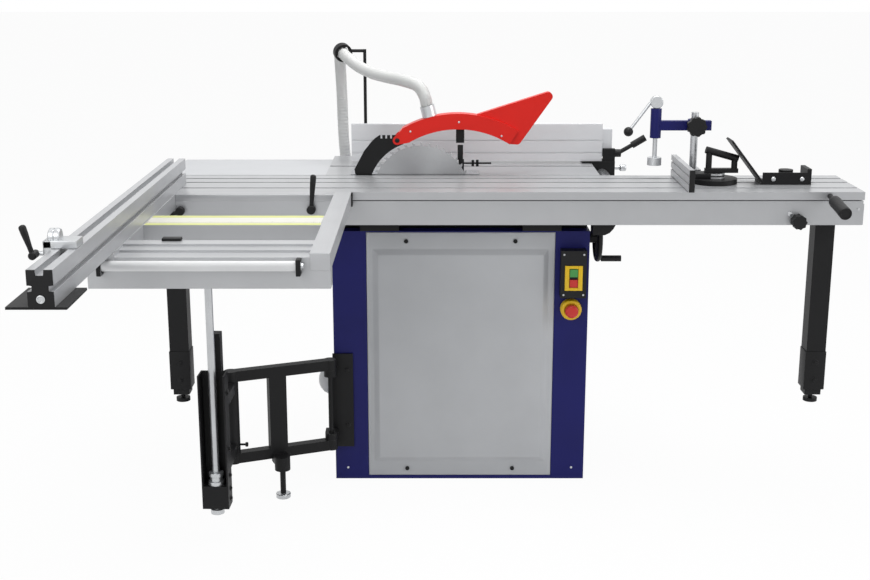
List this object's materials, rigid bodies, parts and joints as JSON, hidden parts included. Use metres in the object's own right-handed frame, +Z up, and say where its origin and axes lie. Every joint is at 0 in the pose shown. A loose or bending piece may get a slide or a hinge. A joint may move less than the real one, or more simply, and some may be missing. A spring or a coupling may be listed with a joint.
{
  "type": "sliding table saw",
  "caption": "Floor-standing sliding table saw with a long carriage, outrigger table, crosscut and rip fences, guarded tilting blade, mitre gauge with clamp, and a jointed support arm.",
  "frame": {"origin": "centre of the cabinet's base, on the floor", "axes": "+X along the cut to the operator's right in the front view, +Y from the outrigger to the rip fence, +Z up"},
  "size_m": [2, 2.069, 1.2389],
  "materials": {
    "blue_paint": "powder coat",
    "grey_paint": "powder coat",
    "black_paint": "powder coat",
    "cast_table": "ground",
    "aluminium": "anodised",
    "steel": "ground",
    "zinc": "zinc plated",
    "red_paint": "gloss",
    "black_plastic": "moulded",
    "yellow_plastic": "moulded",
    "red_plastic": "moulded",
    "green_plastic": "moulded",
    "white_plastic": "moulded",
    "hose_plastic": "ribbed",
    "belt_rubber": "matt",
    "motor_iron": "painted"
  },
  "bodies": {
    "base": {"cabinet_shell": "blue_paint", "front_panel": "grey_paint", "panel_screws": "black_paint", "main_table": "cast_table", "table_insert": "steel", "extension_table": "grey_paint", "rip_rail": "steel", "guide_beam": "aluminium", "guide_rods": "steel", "beam_brackets": "black_paint", "left_leg_sleeve": "black_paint", "right_leg_sleeve": "black_paint", "switch_box": "black_plastic", "estop_base": "yellow_plastic", "hose_post": "black_paint", "trunnion_brackets": "motor_iron", "arm_hinge_plate": "black_paint", "dust_port": "black_plastic", "dust_hose": "hose_plastic"},
    "tilt_unit": {"tilt_cradle": "motor_iron"},
    "lift_unit": {"lift_carrier": "motor_iron", "motor": "motor_iron", "drive_belt": "belt_rubber", "riving_knife": "black_paint"},
    "arbor": {"saw_blade": "steel", "arbor_shaft": "steel"},
    "rotor": {"motor_pulley": "steel"},
    "guard": {"blade_guard": "red_paint", "guard_collar": "zinc"},
    "carriage": {"carriage_top": "aluminium", "push_handle": "black_plastic", "crosscut_frame": "aluminium", "mitre_base": "black_paint", "edging_shoe": "black_paint"},
    "table_lever": {"table_lever": "black_plastic"},
    "loading_roller": {"front_roller": "white_plastic"},
    "fence_swing": {"crosscut_fence": "aluminium", "fence_end_plate": "black_paint"},
    "fence_stop": {"flip_stop": "zinc"},
    "mitre_gauge": {"mitre_fence": "aluminium", "mitre_handle": "black_plastic", "clamp_column": "zinc", "clamp_arm": "blue_paint"},
    "clamp_rod": {"clamp_rod": "zinc"},
    "clamp_lever": {"clamp_lever": "black_plastic"},
    "clamp_knob": {"clamp_knob": "black_plastic"},
    "lock_knob": {"lock_knob": "black_plastic"},
    "rip_fence": {"rip_fence": "aluminium", "fence_carriage": "black_paint"},
    "rip_lever": {"fence_lock_lever": "black_plastic"},
    "left_leg": {"left_leg_foot": "black_paint"},
    "right_leg": {"right_leg_foot": "black_paint"},
    "arm_inner": {"arm_link_inner": "black_paint"},
    "arm_outer": {"arm_link_outer": "black_paint"},
    "arm_post": {"arm_post": "zinc"},
    "height_wheel": {"height_handwheel": "black_plastic"},
    "tilt_wheel": {"tilt_handwheel": "white_plastic"},
    "start_button": {"start_button": "green_plastic"},
    "stop_button": {"stop_button": "red_plastic"},
    "estop": {"estop_button": "red_plastic"}
  },
  "joints": [
    {"name": "blade_tilt", "type": "hinge", "parent": "base", "child": "tilt_unit", "pos_m": [-0.114, -0.14, 0.884], "axis": [1, 0, 0], "range_deg": [0, 45], "deforming": ["dust_hose"]},
    {"name": "blade_height", "type": "slide", "parent": "tilt_unit", "child": "lift_unit", "axis": [0, 0, 1], "range_m": [-0.088, 0], "deforming": ["dust_hose"]},
    {"name": "blade_spin", "type": "hinge", "parent": "lift_unit", "child": "arbor", "pos_m": [-0.114, -0.14, 0.828], "axis": [0, 1, 0], "continuous": true},
    {"name": "motor_spin", "type": "hinge", "parent": "lift_unit", "child": "rotor", "pos_m": [-0.114, -0.14, 0.528], "axis": [0, 1, 0], "continuous": true},
    {"name": "guard_lift", "type": "hinge", "parent": "lift_unit", "child": "guard", "pos_m": [-0.182, -0.14, 0.987], "axis": [0, -1, 0], "range_deg": [0, 40], "deforming": ["dust_hose"]},
    {"name": "carriage_slide", "type": "slide", "parent": "base", "child": "carriage", "axis": [1, 0, 0], "range_m": [-0.3, 0.9]},
    {"name": "table_lever_turn", "type": "hinge", "parent": "carriage", "child": "table_lever", "pos_m": [-0.405, -0.48, 0.845], "axis": [0, 1, 0], "range_deg": [-80, 25]},
    {"name": "roller_spin", "type": "hinge", "parent": "carriage", "child": "loading_roller", "pos_m": [-0.6, -1.19, 0.858], "axis": [1, 0, 0], "continuous": true},
    {"name": "fence_angle", "type": "hinge", "parent": "carriage", "child": "fence_swing", "pos_m": [-0.796, -0.489, 0.884], "axis": [0, 0, 1], "range_deg": [-30, 45]},
    {"name": "stop_slide", "type": "slide", "parent": "fence_swing", "child": "fence_stop", "axis": [0, 1, 0], "range_m": [-0.12, 0.9]},
    {"name": "mitre_angle", "type": "hinge", "parent": "carriage", "child": "mitre_gauge", "pos_m": [0.713, -0.275, 0.9], "axis": [0, 0, 1], "range_deg": [0, 30]},
    {"name": "clamp_press", "type": "slide", "parent": "mitre_gauge", "child": "clamp_rod", "axis": [0, 0, 1], "range_m": [-0.037, 0]},
    {"name": "clamp_lever_turn", "type": "hinge", "parent": "mitre_gauge", "child": "clamp_lever", "pos_m": [0.555, -0.205, 1.1023], "axis": [0, 1, 0], "range_deg": [0, 60]},
    {"name": "clamp_knob_turn", "type": "hinge", "parent": "mitre_gauge", "child": "clamp_knob", "pos_m": [0.666, -0.225, 1.0365], "axis": [0, 1, 0], "continuous": true},
    {"name": "lock_knob_turn", "type": "hinge", "parent": "base", "child": "lock_knob", "pos_m": [0.917, -0.435, 0.803], "axis": [0, 1, 0], "continuous": true},
    {"name": "rip_slide", "type": "slide", "parent": "base", "child": "rip_fence", "axis": [0, 1, 0], "range_m": [-0.19, 0.06]},
    {"name": "rip_lever_turn", "type": "hinge", "parent": "rip_fence", "child": "rip_lever", "pos_m": [0.49, 0.084, 0.914], "axis": [1, 0, 0], "range_deg": [-45, 45]},
    {"name": "left_leg_slide", "type": "slide", "parent": "base", "child": "left_leg", "axis": [0, 0, 1], "range_m": [-0.25, 0]},
    {"name": "right_leg_slide", "type": "slide", "parent": "base", "child": "right_leg", "axis": [0, 0, 1], "range_m": [-0.25, 0]},
    {"name": "arm_shoulder", "type": "hinge", "parent": "base", "child": "arm_inner", "pos_m": [-0.374, -0.345, 0.25], "axis": [0, 0, 1], "range_deg": [-10, 70]},
    {"name": "arm_elbow", "type": "hinge", "parent": "arm_inner", "child": "arm_outer", "pos_m": [-0.64288, -0.45364, 0.25], "axis": [0, 0, 1], "range_deg": [-40, 60]},
    {"name": "post_height", "type": "slide", "parent": "arm_outer", "child": "arm_post", "axis": [0, 0, 1], "range_m": [-0.1, 0]},
    {"name": "height_wheel_turn", "type": "hinge", "parent": "base", "child": "height_wheel", "pos_m": [0.366, -0.2, 0.711], "axis": [1, 0, 0], "range_deg": [-1269, 1]},
    {"name": "tilt_wheel_turn", "type": "hinge", "parent": "base", "child": "tilt_wheel", "pos_m": [-0.366, -0.15, 0.26], "axis": [1, 0, 0], "range_deg": [-1, 1081]},
    {"name": "start_press", "type": "slide", "parent": "base", "child": "start_button", "axis": [0, 1, 0], "range_m": [0, 0.006], "stiffness_N_per_m": 400},
    {"name": "stop_press", "type": "slide", "parent": "base", "child": "stop_button", "axis": [0, 1, 0], "range_m": [0, 0.006], "stiffness_N_per_m": 400},
    {"name": "estop_press", "type": "slide", "parent": "base", "child": "estop", "axis": [0, 1, 0], "range_m": [0, 0.006], "stiffness_N_per_m": 800}
  ],
  "couplings": [
    {"joint": "motor_spin", "follows": "blade_spin", "ratio": 0.74359},
    {"joint": "height_wheel_turn", "follows": "blade_height", "rad_per_m": 251.33},
    {"joint": "tilt_wheel_turn", "follows": "blade_tilt", "ratio": 24}
  ]
}
